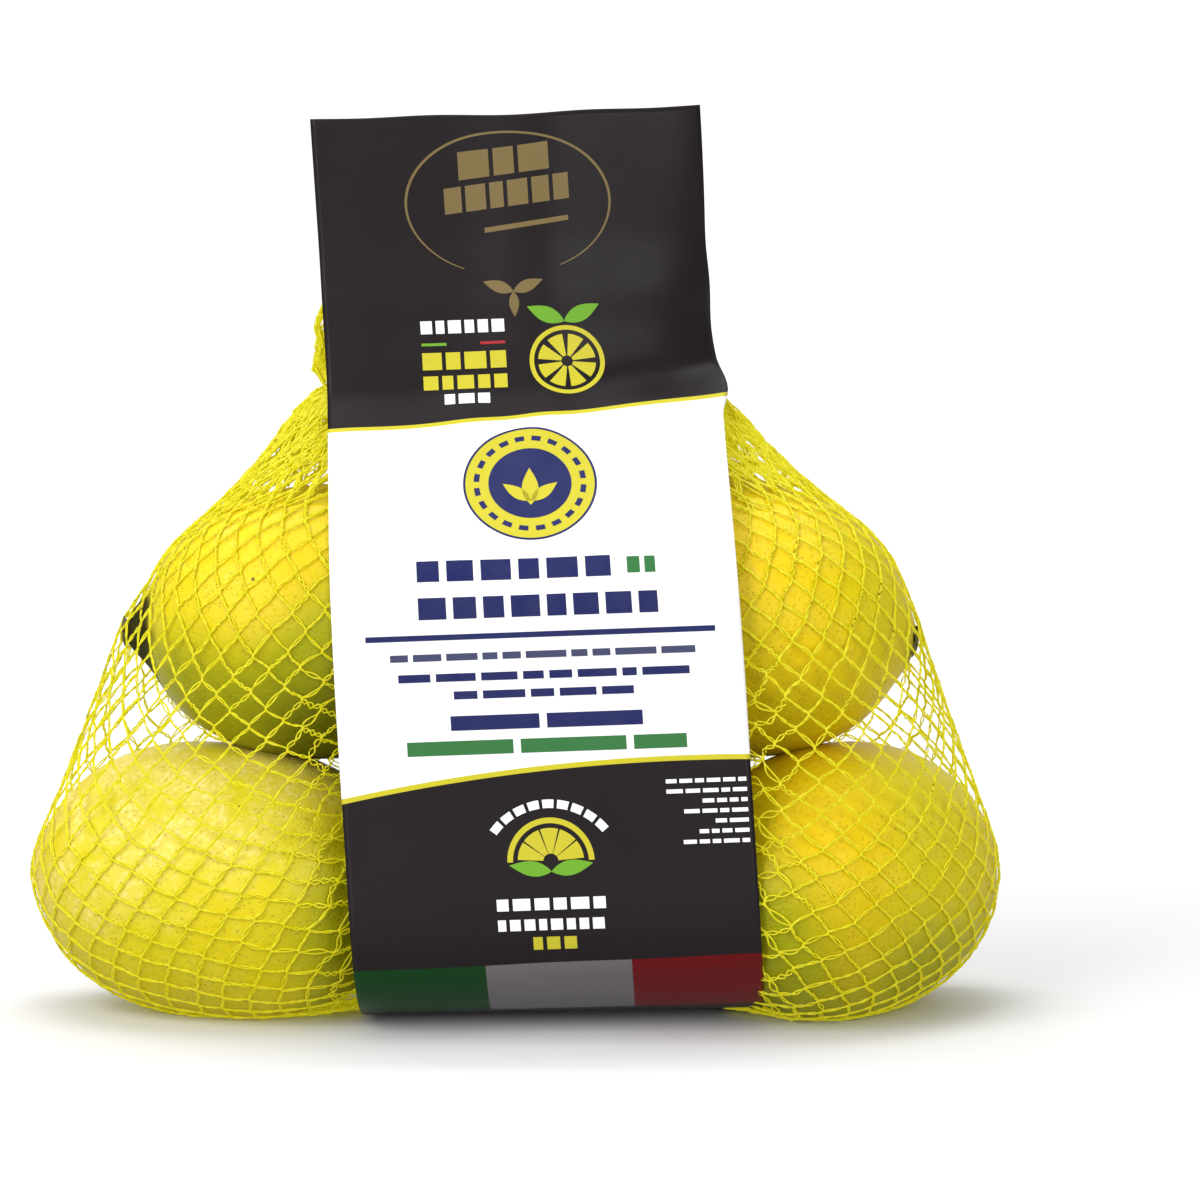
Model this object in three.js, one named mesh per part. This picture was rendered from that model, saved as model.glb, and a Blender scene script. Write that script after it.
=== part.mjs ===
// A net of lemons: five lemons in a tubular knitted net, standing on a table, with a wide
// printed film band that runs down the front, under the net, up the back and is sealed above
// it as a flat header.
// Millimetres, +Z up, the band's printed front faces -Y. The origin is on the table, under the
// middle of the pack.
import * as THREE from "three";
import { mergeVertices } from "three/addons/utils/BufferGeometryUtils.js";

// ---- driving dimensions ----
const FLATTENING = 0.9; // how far a lemon that lies on the table is pressed flat
const GIRTH = 59.8; // diameter of the two outer lemons that lie on the table
const BODY = 79; // usual length of a lemon without its two tips
const LIFT = 1.1; // room under the middle lemon for net and film
const LYING = GIRTH / 2 - FLATTENING; // centre height of a lemon on the table

// the two ends of a lemon: their height beyond the body, and how fast they rise from it
const TIP = { height: 4, sharpness: 30 };
const STEM = { height: 2, sharpness: 40 };
const KNOB = { height: 5.5, sharpness: 90 }; // a stem end that stands out as a knob
const HIGH_STEM = { height: 3, sharpness: 70 };

// at is a lemon's centre, yaw turns its blossom tip from +X towards +Y, pitch lifts that tip,
// and fullness is the superellipse exponent of its outline, where 2 is an ellipse
const LEMONS = {
  lower_left: {
    at: [-63.4, -6.5, LYING], yaw: 160, pitch: 1.5, girth: GIRTH, body: BODY + 2, fullness: 2.35,
  },
  lower_right: {
    at: [71.1, -6.4, LYING], yaw: 52, pitch: 0, girth: GIRTH, body: BODY, fullness: 2.2,
  },
  lower_middle: {
    at: [6.5, 1.7, 57 / 2 + LIFT], yaw: 80, pitch: 0, girth: 57, body: BODY - 1, fullness: 2.15,
  },
  upper_left: {
    at: [-40.2, -6.2, 85.6], yaw: 359, pitch: 3, girth: 59.8, body: BODY + 1, fullness: 2.1,
    stem: KNOB,
  },
  upper_right: {
    at: [45.4, -1.5, 86.3], yaw: 172, pitch: 7, girth: 61, body: BODY + 2, fullness: 2.15,
    stem: HIGH_STEM,
  },
};

const NET = {
  skin: 0.8, // from a lemon's rind to the outside of the net
  seamWidth: 80, // the gathered lower end, under the middle lemon
  neckWidth: 86, // the gathered upper end, between the films
  neckThick: 3,
  neckFoot: 140, // where the net leaves the header
  neckTop: 155,
  columns: 84,
  rows: 50,
  neckRows: 3,
  looseRadius: [122, 62], // the untightened tube's half width and half depth
  rounds: 420,
  // share of the pull that runs round the net, the rest runs up it
  aroundPull: { low: 0.01, high: 0.65 },
  neckAside: -2.2, // the gathered upper end shows a little beyond the film's left edge
};

const BAND = {
  width: 86.6,
  film: 0.5,
  clearance: 0.4, // between film and net
  coverBeyond: 9, // net this far beyond the band's edges still carries it
  top: 195.8,
  footX: 10.8, // the band's middle on the table
  lean: -12.3, // how far its middle shifts sideways from there to the top
  gather: 0.018, // share of its width lost where it is drawn in above the upper lemons
  rise: 0.036, // slope of its cross lines
  riseFrom: 14, // height by which that slope is reached
  pocketBeyond: 2, // room above the gathered net between the films
  sealFoot: 166, // above it the two films are sealed flat
  pathStep: 4,
  acrossSteps: 10,
};

// the header's right part curls back, as the film does where it leaves the net
const CURL = { from: 4, foot: 131, full: 142, radius: 57, topRadius: 110 };

// ---- small helpers ----
const smooth = (x, a, b) => {
  const t = Math.min(1, Math.max(0, (x - a) / (b - a)));
  return t * t * (3 - 2 * t);
};
const degrees = (angle) => (angle * Math.PI) / 180;

// the band's middle at a height
const bandMiddle = (z) => BAND.footX + (BAND.lean * z) / BAND.top;

// turns the header's right part back, with all that lies in it
function curlBack(point) {
  const upHeader = smooth(point.z, CURL.full, BAND.top);
  const radius = CURL.radius + (CURL.topRadius - CURL.radius) * upHeader;
  const bend = smooth(point.z, CURL.foot, CURL.full) / radius;
  const start = bandMiddle(point.z) + CURL.from;
  const reach = point.x - start;
  if (reach <= 0 || bend === 0) return point.clone();
  const turned = reach * bend;
  return new THREE.Vector3(
    start + Math.sin(turned) / bend - point.y * Math.sin(turned),
    (1 - Math.cos(turned)) / bend + point.y * Math.cos(turned),
    point.z,
  );
}

// a grid of points, rows x columns and closed round the columns. Each end row is a flat loop:
// its front half (columns 0 to half) is joined straight across to its back half.
function tubeGeometry(rows) {
  const columns = rows[0].length;
  const index = [];
  const at = (row, column) => row * columns + (column % columns);
  for (let row = 0; row + 1 < rows.length; row++)
    for (let c = 0; c < columns; c++) {
      index.push(at(row, c), at(row, c + 1), at(row + 1, c + 1));
      index.push(at(row, c), at(row + 1, c + 1), at(row + 1, c));
    }
  for (const [row, below] of [[0, true], [rows.length - 1, false]])
    for (let c = 0; c < columns / 2; c++) {
      const [front, nextFront] = [at(row, c), at(row, c + 1)];
      const [back, nextBack] = [at(row, columns - c), at(row, columns - c - 1)];
      const faces = [[front, nextFront, nextBack], [front, nextBack, back]];
      faces
        .filter((face) => new Set(face).size === 3)
        .forEach((face) => index.push(...(below ? face.reverse() : face)));
    }
  return new THREE.BufferGeometry().setFromPoints(rows.flat()).setIndex(index);
}

// ---- lemons ----
function axisOf(lemon) {
  const [yaw, pitch] = [degrees(lemon.yaw), degrees(lemon.pitch)];
  return new THREE.Vector3(
    Math.cos(pitch) * Math.cos(yaw),
    Math.cos(pitch) * Math.sin(yaw),
    Math.sin(pitch),
  );
}

// distance from a lemon's centre to its rind, where c is the cosine of the angle to its axis
function rindRadius(lemon, c) {
  const s = Math.sqrt(Math.max(0, 1 - c * c));
  const along = Math.abs(c) / (lemon.body / 2);
  const across = s / (lemon.girth / 2);
  const full = lemon.fullness;
  const body = (along ** full + across ** full) ** (-1 / full);
  const end = c > 0 ? TIP : (lemon.stem ?? STEM);
  return body + end.height * Math.abs(c) ** end.sharpness;
}

// moves a point of the net out to a lemon's rind if it has sunk into it
function keepOutside(point, lemon) {
  const from = point.clone().sub(lemon.centre);
  const distance = from.length();
  const least = rindRadius(lemon, from.dot(lemon.axis) / distance) + NET.skin;
  if (distance < least) point.copy(lemon.centre).addScaledVector(from, least / distance);
}

// ---- net ----
// lowest height of the net: on the table, but above the film where the band passes under it
function netFloor(x) {
  const overBand = BAND.width / 2 + 2;
  return (BAND.film + BAND.clearance) * (1 - smooth(Math.abs(x - BAND.footX), overBand, overBand + 8));
}

// a flat loop across the band, for the net's gathered ends
function flatLoop(middleX, z, width, thick) {
  return Array.from({ length: NET.columns }, (_, c) => {
    const turn = (c / NET.columns) * 2 * Math.PI;
    return new THREE.Vector3(
      middleX - (width / 2) * Math.cos(turn),
      (-thick / 2) * Math.sin(turn),
      z,
    );
  });
}

// the net before it is pulled tight: a wide tube from the lower seam to the neck
function looseNet() {
  const [wide, deep] = NET.looseRadius;
  const rows = [];
  const free = NET.rows - NET.neckRows;
  for (let row = 0; row <= free; row++) {
    const t = row / free;
    const out = Math.sin(Math.PI * t ** 0.8) ** 0.6;
    const z = NET.neckFoot * (1 - Math.cos(Math.PI * t)) / 2;
    const width = 2 * wide * out + (1 - out) * (NET.seamWidth * (1 - t) + NET.neckWidth * t);
    rows.push(flatLoop(bandMiddle(z) * t, z, width, 2 * deep * out + NET.neckThick));
  }
  rows[0] = flatLoop(BAND.footX, netFloor(BAND.footX), NET.seamWidth, NET.neckThick);
  for (let row = 0; row <= NET.neckRows; row++) {
    const z = NET.neckFoot + ((NET.neckTop - NET.neckFoot) * row) / NET.neckRows;
    rows[free + row] = flatLoop(bandMiddle(z) + NET.neckAside, z, NET.neckWidth - row, NET.neckThick);
  }
  return rows;
}

// pulls the net tight: each point moves to the middle of its neighbours, then out of any
// lemon and above the table. Both gathered ends stay, and rind holds each column of the net
// in its upright plane.
function tightNet() {
  const rows = looseNet();
  const last = NET.rows - NET.neckRows;
  const widest = Math.round(last / 2);
  const planes = rows[0].map((seam, c) =>
    new THREE.Plane().setFromCoplanarPoints(seam, rows[widest][c], rows[last][c]));
  const lemons = Object.values(LEMONS).map((lemon) => ({
    ...lemon,
    centre: new THREE.Vector3(...lemon.at),
    axis: axisOf(lemon),
  }));
  const count = NET.columns;
  const { low, high } = NET.aroundPull;
  for (let round = 0; round < NET.rounds; round++)
    for (let row = 1; row < last; row++) {
      const around = low + (high - low) * smooth(row / last, 0.56, 0.72);
      for (let c = 0; c < count; c++) {
        const point = rows[row][c];
        const sides = [rows[row][(c + 1) % count], rows[row][(c + count - 1) % count]];
        const ends = [rows[row - 1][c], rows[row + 1][c]];
        point.set(0, 0, 0);
        sides.forEach((side) => point.addScaledVector(side, around / 2));
        ends.forEach((end) => point.addScaledVector(end, (1 - around) / 2));
        lemons.forEach((lemon) => keepOutside(point, lemon));
        planes[c].projectPoint(point, point);
        lemons.forEach((lemon) => keepOutside(point, lemon));
        point.z = Math.max(point.z, netFloor(point.x));
      }
    }
  return rows;
}

// ---- band ----
// height of a point measured along the band, whose cross lines rise to one side
const heightOnBand = (x, z) =>
  z - (x - bandMiddle(z)) * BAND.rise * smooth(z, 0, BAND.riseFrom);

// the film's taut path in side view, as [y, height] from the neck down the front and up the
// back: the convex outline of all that the band covers
function tautPath(netRows) {
  const covered = netRows
    .flat()
    .filter((p) => Math.abs(p.x - bandMiddle(p.z)) < BAND.width / 2 + BAND.coverBeyond)
    .map((p) => [p.y, heightOnBand(p.x, p.z)])
    .filter(([, height]) => height < NET.neckFoot - 0.5);
  const neck = NET.neckThick / 2;
  covered.push([-neck, NET.neckFoot], [neck, NET.neckFoot]);
  covered.sort((a, b) => a[0] - b[0] || a[1] - b[1]);
  const turn = (o, a, b) => (a[0] - o[0]) * (b[1] - o[1]) - (a[1] - o[1]) * (b[0] - o[0]);
  const chain = (points) => {
    const hull = [];
    for (const p of points) {
      while (hull.length > 1 && turn(hull.at(-2), hull.at(-1), p) <= 0) hull.pop();
      hull.push(p);
    }
    return hull;
  };
  const lower = chain(covered);
  const upper = chain([...covered].reverse());
  const loop = [...lower.slice(0, -1), ...upper.slice(0, -1)];
  const start = loop.findIndex(([y, z]) => y === -neck && z === NET.neckFoot);
  return [...loop.slice(start), ...loop.slice(0, start)].map(([y, z]) => new THREE.Vector2(y, z));
}

// the film's outline in side view, `out` outside the taut path, with the header above it. Its
// underside lies flat on the table.
function filmOutline(path, out, headerPoints) {
  const curve = new THREE.CatmullRomCurve3(
    path.map((p) => new THREE.Vector3(p.x, p.y, 0)),
    false,
    "chordal",
  );
  const steps = Math.round(curve.getLength() / BAND.pathStep);
  const line = Array.from({ length: steps + 1 }, (_, i) => {
    const point = curve.getPointAt(i / steps);
    const along = curve.getTangentAt(i / steps);
    const least = BAND.clearance + BAND.film - out;
    return new THREE.Vector2(point.x + along.y * out, Math.max(least, point.y - along.x * out));
  });
  const front = headerPoints.map(([half, height]) => new THREE.Vector2(-half, height));
  const back = headerPoints.map(([half, height]) => new THREE.Vector2(half, height)).reverse();
  return [...front, ...line, ...back];
}

function bandGeometry(netRows) {
  const path = tautPath(netRows);
  const inner = BAND.clearance;
  const outer = inner + BAND.film;
  const neck = NET.neckThick / 2;
  const pocketTop = NET.neckTop + BAND.pocketBeyond;
  const outline = new THREE.Shape(
    filmOutline(path, outer, [
      [BAND.film, BAND.top],
      [BAND.film, (BAND.top + BAND.sealFoot) / 2],
      [BAND.film, BAND.sealFoot],
      [neck + outer, pocketTop],
      [neck + outer, (NET.neckTop + NET.neckFoot) / 2],
    ]),
  );
  outline.holes.push(
    new THREE.Path(
      filmOutline(path, inner, [
        [neck / 2, pocketTop + 1.5],
        [neck + inner, pocketTop],
        [neck + inner, (NET.neckTop + NET.neckFoot) / 2],
      ]),
    ),
  );
  const extruded = new THREE.ExtrudeGeometry(outline, {
    depth: BAND.width,
    steps: BAND.acrossSteps,
    bevelEnabled: false,
  });
  extruded.deleteAttribute("normal");
  extruded.deleteAttribute("uv");
  const position = extruded.getAttribute("position");
  for (let i = 0; i < position.count; i++) {
    const y = position.getX(i);
    const height = position.getY(i);
    const drawnIn = BAND.gather * smooth(height, NET.neckFoot / 2, NET.neckFoot);
    const across = (position.getZ(i) - BAND.width / 2) * (1 - drawnIn);
    const z = height + across * BAND.rise * smooth(height, 0, BAND.riseFrom);
    const point = curlBack(new THREE.Vector3(bandMiddle(height) + across, y, z));
    position.setXYZ(i, point.x, point.y, point.z);
  }
  return mergeVertices(extruded);
}

// ---- the pack ----
function part(name, geometry, color, roughness) {
  const material = new THREE.MeshStandardMaterial({ color, roughness, metalness: 0 });
  const mesh = new THREE.Mesh(geometry, material);
  mesh.name = name;
  return mesh;
}

const netRows = tightNet();
const pack = new THREE.Group();
pack.add(
  part("net_bag", tubeGeometry(netRows.map((row) => row.map(curlBack))), 0xe8dc28, 0.5),
  part("band", bandGeometry(netRows), 0x2b272a, 0.35),
);

export default pack;
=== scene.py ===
"""Looks for a net of lemons: five lemons, a knitted net pulled tight round them, and a printed
film band with a header. Sizes are millimetres up to the point where a mesh is made."""
import math

import bpy
import numpy as np
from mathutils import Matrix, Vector, noise
from mathutils.bvhtree import BVHTree


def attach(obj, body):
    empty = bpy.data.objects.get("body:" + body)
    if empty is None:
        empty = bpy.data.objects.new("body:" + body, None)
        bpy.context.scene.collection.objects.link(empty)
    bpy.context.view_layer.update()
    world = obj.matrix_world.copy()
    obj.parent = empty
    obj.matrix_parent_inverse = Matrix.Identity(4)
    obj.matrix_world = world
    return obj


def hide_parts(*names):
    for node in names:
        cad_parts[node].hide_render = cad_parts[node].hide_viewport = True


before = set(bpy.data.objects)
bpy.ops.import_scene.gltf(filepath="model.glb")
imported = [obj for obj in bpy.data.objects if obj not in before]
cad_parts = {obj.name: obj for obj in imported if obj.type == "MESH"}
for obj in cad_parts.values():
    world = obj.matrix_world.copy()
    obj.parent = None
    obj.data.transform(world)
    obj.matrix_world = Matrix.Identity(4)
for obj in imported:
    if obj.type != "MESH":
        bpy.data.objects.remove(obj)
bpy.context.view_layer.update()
MM = 0.001
NOISE_GAIN = 1.6
TINY = 1e-9

# ---- the pack's driving sizes, as in its solids ----
GIRTH = 59.8
PRESSED = 0.9  # how far a lower lemon is pressed flat on the table
LYING = GIRTH / 2 - PRESSED  # height of its middle
# full says how square a lemon's outline is, and stem is its own stem end in place of STEM
LEMONS = {
    "lower_left": dict(at=(-63.4, -6.5, LYING), yaw=160, pitch=1.5, girth=GIRTH, body=81,
                       full=2.35),
    "lower_right": dict(at=(71.1, -6.4, LYING), yaw=52, pitch=0, girth=GIRTH, body=79, full=2.2),
    "lower_middle": dict(at=(6.5, 1.7, 29.6), yaw=80, pitch=0, girth=57, body=78, full=2.15),
    "upper_left": dict(at=(-40.2, -6.2, 85.6), yaw=359, pitch=3, girth=59.8, body=80, full=2.1,
                       stem=(5.5, 90)),
    "upper_right": dict(at=(45.4, -1.5, 86.3), yaw=172, pitch=7, girth=61, body=81, full=2.15,
                        stem=(3.0, 70)),
}
TIP, STEM = (4.0, 30), (2.0, 40)  # height of an end, and how fast it rises from the body
SEAM_WIDTH = 80  # the net's flat lower end
NECK_FOOT, NECK_TOP = 140, 155  # its upper end, flat between the header's two films
NECK_WIDTH, NECK_THICK = 86, 3
NECK_ASIDE = -2.2  # from the band's middle to the neck's
NECK_TAPER, NECK_SQUEEZE = 3, 1.2  # how much the neck narrows up to its top, and is pressed
LOOSE_WIDE, LOOSE_DEEP = 122, 62  # half the tube before it is pulled tight
LOOSE_SKEW, LOOSE_FULL = 0.8, 0.6  # how low its widest row is, and how full its outline
PULL_LOW, PULL_HIGH = 0.01, 0.65  # share of the pull that runs round the net, low and high up
PULL_RISE = (0.56, 0.72)  # shares of the net's height between the two
BAND_WIDTH, BAND_TOP = 86.6, 195.8
BAND_FOOT_X, BAND_LEAN = 10.8, -12.3  # the band's middle at the table, and its shift at the top
GATHER = 0.018  # share of its width that the band loses on its way up to the neck
RISE, RISE_FROM = 0.036, 14  # the band's slope up to the right, and where it is reached
CURL_FROM = 4  # the header curls back from this far right of its middle
CURL_FOOT, CURL_FULL = 131, 142
CURL_RADIUS, CURL_TOP_RADIUS = 57, 110
UNDER_FILM = 0.9  # how high the film lifts the net off the table
UNDER_BEYOND, UNDER_EASE = 2, 8  # how far beside the film it does, and how softly it ends
COVER_BEYOND = 9  # the film is tight over what is up to this far beside it
SEAL_FOOT, POCKET, POCKET_FOOT = 166, 157, 148  # heights where the header's two films part
SEAL_HALF, POCKET_HALF = 0.12, 2.2  # from the middle between them to each film

# ---- looks ----
# shares of olive low down and beside the film, partly the rind's own tint and partly painted
# shade; of amber; of pale painted light on the side facing the key light; and how wide in
# radians and how dark the stem end's patch is, its dark partly painted shade
RIND_TINTS_AND_PAINTED_LIGHT = {
    "lower_left": dict(low=0.06, near=0.52, amber=0.0, painted_light_share=0.85, patch=0.15, dark=0.9),
    "lower_right": dict(low=0.34, near=0.42, amber=0.9, painted_light_share=0.12, patch=0.15, dark=0.9),
    "lower_middle": dict(low=0.30, near=0.30, amber=0.2, painted_light_share=0.3, patch=0.15, dark=0.9),
    "upper_left": dict(low=0.60, near=0.36, amber=0.6, painted_light_share=0.2, patch=0.30, dark=1.0),
    "upper_right": dict(low=0.04, near=0.14, amber=0.5, painted_light_share=0.25, patch=0.12, dark=0.5),
}
NET_SKIN = 0.5  # from rind to the middle of the net's yarn
NET_COLUMNS = 124  # twice the meshes round the net
NET_ROWS = 48  # twice the meshes from its lower end to the header
NECK_ROWS = 3
STRAND = 5.7  # length of one side of a mesh
STRAND_SPREAD = 0.05  # how much the strands differ in length
MESH_WIDEST = 0.8  # the most that half a mesh is wide, of a strand's length
EVENNESS = 0.05  # how strongly the meshes share their width with their neighbours
WIDER = 0.3  # how much wider the meshes are beside the film than at the pack's ends
JOINT = 0.3  # half length of the knitted joint between four strands
SLACK_SHORT = (0.15, 0.5)  # by what share a strand's ends are close, from taut to slack
SLACK_BESIDE, SLACK_HEIGHT = (2, 11), (66, 84)  # the net is slack low down beside the film
TIGHT_LOWER, TIGHT_UPPER = 6, 8  # rows at the net's two ends that aren't slack
FILAMENT = 0.20  # radius of one filament, two make a strand
LOOP = 0.46  # how far a strand's two filaments part
GATHERED = 6  # filaments added beside each strand where the net is gathered
NET_PARTS = 6  # meshes that the net is divided into
FILM_OUT = 0.65  # from the net to the film's middle
FILM_HALF = 0.08
BODY_CUT = 4  # millimetres of its run round the net left out where the header takes over
STIFF_REACH, STIFF_WIDTH = 8, 2.6  # how far along itself the film rounds off its bends
WAVES_END = (44, 70)  # from the header's top edge down to where its waves end
PLEAT_AT, PLEAT_REACH, PLEAT_HIGH = 62, 13, 0.35  # upright pleats under the header
CRINKLE_HIGH = 0.22
FOOT_RISE, FOOT_TILT = 2.2, 0.017  # how high the lower front edge is off the table, and tilts
TOP_DIP = 0.35  # how wavy the header's top edge is
FILM_LOWEST = 0.25  # height of the film's middle where it lies on the table
LEMON_LOWEST, NODE_LOWEST = 0.45, 0.35  # heights of rind and mesh corners on the table
rng = np.random.default_rng(7)


def smooth(x, a, b):
    """0 below a, 1 above b, smooth between"""
    t = np.clip((np.asarray(x, float) - a) / (b - a), 0, 1)
    return t * t * (3 - 2 * t)


def band_middle(z):
    return BAND_FOOT_X + BAND_LEAN * z / BAND_TOP


def beside_film(points):
    """how far points are beside the band's edge; less than 0 is behind the band"""
    return np.abs(points[..., 0] - band_middle(points[..., 2])) - BAND_WIDTH / 2


def field(points, scale, seed):
    """smooth noise, about -1 to 1, at points in millimetres; scale is the size of a blotch"""
    shift = Vector((seed * 17.3, seed * 5.1, seed * 9.7))
    flat = np.asarray(points, float).reshape(-1, 3) / scale
    values = [noise.noise(Vector(p) + shift) for p in flat]
    return np.array(values).reshape(np.shape(points)[:-1]) * NOISE_GAIN


def srgb(red, green, blue):
    """a screen colour of 0 to 255 as the linear one that a material takes"""
    return tuple(((v / 255 + 0.055) / 1.055) ** 2.4 if v > 10 else v / 255 / 12.92
                 for v in (red, green, blue)) + (1.0,)


def unit(vectors, least=0.0):
    """vectors of length 1 along these; least keeps short ones from dividing by nothing"""
    return vectors / (np.linalg.norm(vectors, axis=-1, keepdims=True) + least)


def grid_faces(rows, columns, closed=False, start=0):
    """quads of a grid of points, optionally closed round its columns"""
    wide = columns if closed else columns - 1
    r, c = np.meshgrid(np.arange(rows - 1), np.arange(wide), indexing="ij")
    after = (c + 1) % columns
    quads = np.stack([r * columns + c, r * columns + after, (r + 1) * columns + after,
                      (r + 1) * columns + c], -1)
    return quads.reshape(-1, 4) + start


# ---- lemons and the net round them ----
def place_of(lemon):
    """a lemon's middle and the direction of its tip"""
    yaw, pitch = math.radians(lemon["yaw"]), math.radians(lemon["pitch"])
    axis = np.array([math.cos(pitch) * math.cos(yaw), math.cos(pitch) * math.sin(yaw),
                     math.sin(pitch)])
    return np.array(lemon["at"], float), axis


def rind_radius(lemon, c):
    """from a lemon's middle to its rind; c is the cosine of the angle from its tip"""
    s = np.sqrt(np.clip(1 - c * c, 0, 1))
    full = lemon["full"]
    along = (np.abs(c) / (lemon["body"] / 2)) ** full
    across = (s / (lemon["girth"] / 2)) ** full
    tip, stem = (height * np.abs(c) ** sharp for height, sharp in (TIP, lemon.get("stem", STEM)))
    return (along + across) ** (-1 / full) + np.where(c > 0, tip, stem)


def net_floor(x):
    over = BAND_WIDTH / 2 + UNDER_BEYOND
    return UNDER_FILM * (1 - smooth(np.abs(x - BAND_FOOT_X), over, over + UNDER_EASE))


def curl_back(points):
    """turns the header's right part back, with all that lies in it"""
    p = np.array(points, float)
    x, y, z = p[..., 0].copy(), p[..., 1].copy(), p[..., 2]
    radius = CURL_RADIUS + (CURL_TOP_RADIUS - CURL_RADIUS) * smooth(z, CURL_FULL, BAND_TOP)
    bend = smooth(z, CURL_FOOT, CURL_FULL) / radius
    start = band_middle(z) + CURL_FROM
    reach = np.maximum(x - start, 0)
    on = (reach > 0) & (bend > 1e-6)
    bend = np.where(on, bend, 1)
    turn = reach * bend
    p[..., 0] = np.where(on, start + np.sin(turn) / bend - y * np.sin(turn), x)
    p[..., 1] = np.where(on, (1 - np.cos(turn)) / bend + y * np.cos(turn), y)
    return p


def flat_loop(middle, z, width, thick):
    """one row of the net as a level oval, from its left end round the front"""
    turn = np.arange(NET_COLUMNS) / NET_COLUMNS * 2 * np.pi
    return np.stack([middle - width / 2 * np.cos(turn), -thick / 2 * np.sin(turn),
                     np.full(NET_COLUMNS, float(z))], 1)


def keep_above(points, least):
    points[..., 2] = np.maximum(points[..., 2], least)


def keep_outside(p, skin):
    """moves points of p out of the lemons, to at least skin from their rind"""
    for lemon in LEMONS.values():
        centre, axis = place_of(lemon)
        away = p - centre
        distance = np.linalg.norm(away, axis=-1)
        least = rind_radius(lemon, (away @ axis) / distance) + skin
        p[:] = centre + away * np.where(distance < least, least / distance, 1)[..., None]


def tight_net(rounds=700, step=0.7):
    """a wide tube from the lower seam to the neck, pulled tight over the lemons"""
    free = NET_ROWS
    net = np.zeros((free + NECK_ROWS + 1, NET_COLUMNS, 3))
    for row in range(free + 1):
        t = row / free
        out = max(0.0, math.sin(math.pi * t ** LOOSE_SKEW)) ** LOOSE_FULL
        z = NECK_FOOT * (1 - math.cos(math.pi * t)) / 2
        width = 2 * LOOSE_WIDE * out + (1 - out) * (SEAM_WIDTH * (1 - t) + NECK_WIDTH * t)
        net[row] = flat_loop(band_middle(z) * t, z, width, 2 * LOOSE_DEEP * out + NECK_THICK)
    net[0] = flat_loop(BAND_FOOT_X, net_floor(BAND_FOOT_X), SEAM_WIDTH, NECK_THICK)
    for row in range(NECK_ROWS + 1):
        t = row / NECK_ROWS
        z = NECK_FOOT + (NECK_TOP - NECK_FOOT) * t
        net[free + row] = flat_loop(band_middle(z) + NECK_ASIDE, z, NECK_WIDTH - NECK_TAPER * t,
                                    NECK_THICK - NECK_SQUEEZE)
    # each column stays in the plane through its two ends and its widest point
    widest = free // 2
    normal = unit(np.cross(net[widest] - net[0], net[free] - net[0]))
    anchor = net[0].copy()
    rise = smooth(np.arange(1, free) / free, *PULL_RISE)[:, None, None]
    around = PULL_LOW + (PULL_HIGH - PULL_LOW) * rise
    inner = net[1:free]
    for _ in range(rounds):
        sides = np.roll(inner, 1, 1) + np.roll(inner, -1, 1)
        ends = net[0:free - 1] + net[2:free + 1]
        inner += step * (sides * around / 2 + ends * (1 - around) / 2 - inner)
        keep_outside(inner, NET_SKIN)
        inner -= np.einsum("rck,ck->rc", inner - anchor, normal)[..., None] * normal
        keep_outside(inner, NET_SKIN)
        keep_above(inner, net_floor(inner[..., 0]))
    return net


def spans(points):
    """lengths of a polyline's pieces"""
    return np.linalg.norm(np.diff(points, axis=0), axis=1)


def resample(points, where):
    """points along a polyline at the given distances from its start"""
    run = np.concatenate([[0], np.cumsum(spans(points))])
    return np.stack([np.interp(where, run, points[:, k]) for k in range(points.shape[1])], 1)


def even_meshes(net):
    """spreads the meshes round each row, widest on the lemons' fronts, and up each column as
    tall as taut strands make them where the net is narrow or wide"""
    free, half = NET_ROWS, NET_COLUMNS // 2
    out = net.copy()
    width = np.linalg.norm(np.roll(net, -1, 1) - net, axis=2).mean(1)
    tall = np.sqrt(STRAND ** 2 - np.minimum(width[:free], MESH_WIDEST * STRAND) ** 2)
    share = np.concatenate([[0], np.cumsum(tall)]) / tall.sum()
    for c in range(NET_COLUMNS):
        column = net[:free + 1, c]
        out[:free + 1, c] = resample(column, share * spans(column).sum())
    t = np.linspace(0, 1, half + 1)
    for r in range(len(net)):
        spread = WIDER * np.sin(np.pi * min(r / free, 1)) ** 2
        place = t - spread * np.sin(4 * np.pi * t) / (4 * np.pi)
        loop = np.concatenate([out[r], out[r, :1]])
        for first in (0, half):
            side = loop[first:first + half + 1]
            out[r, first:first + half] = resample(side, place * spans(side).sum())[:-1]
    return out


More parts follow.
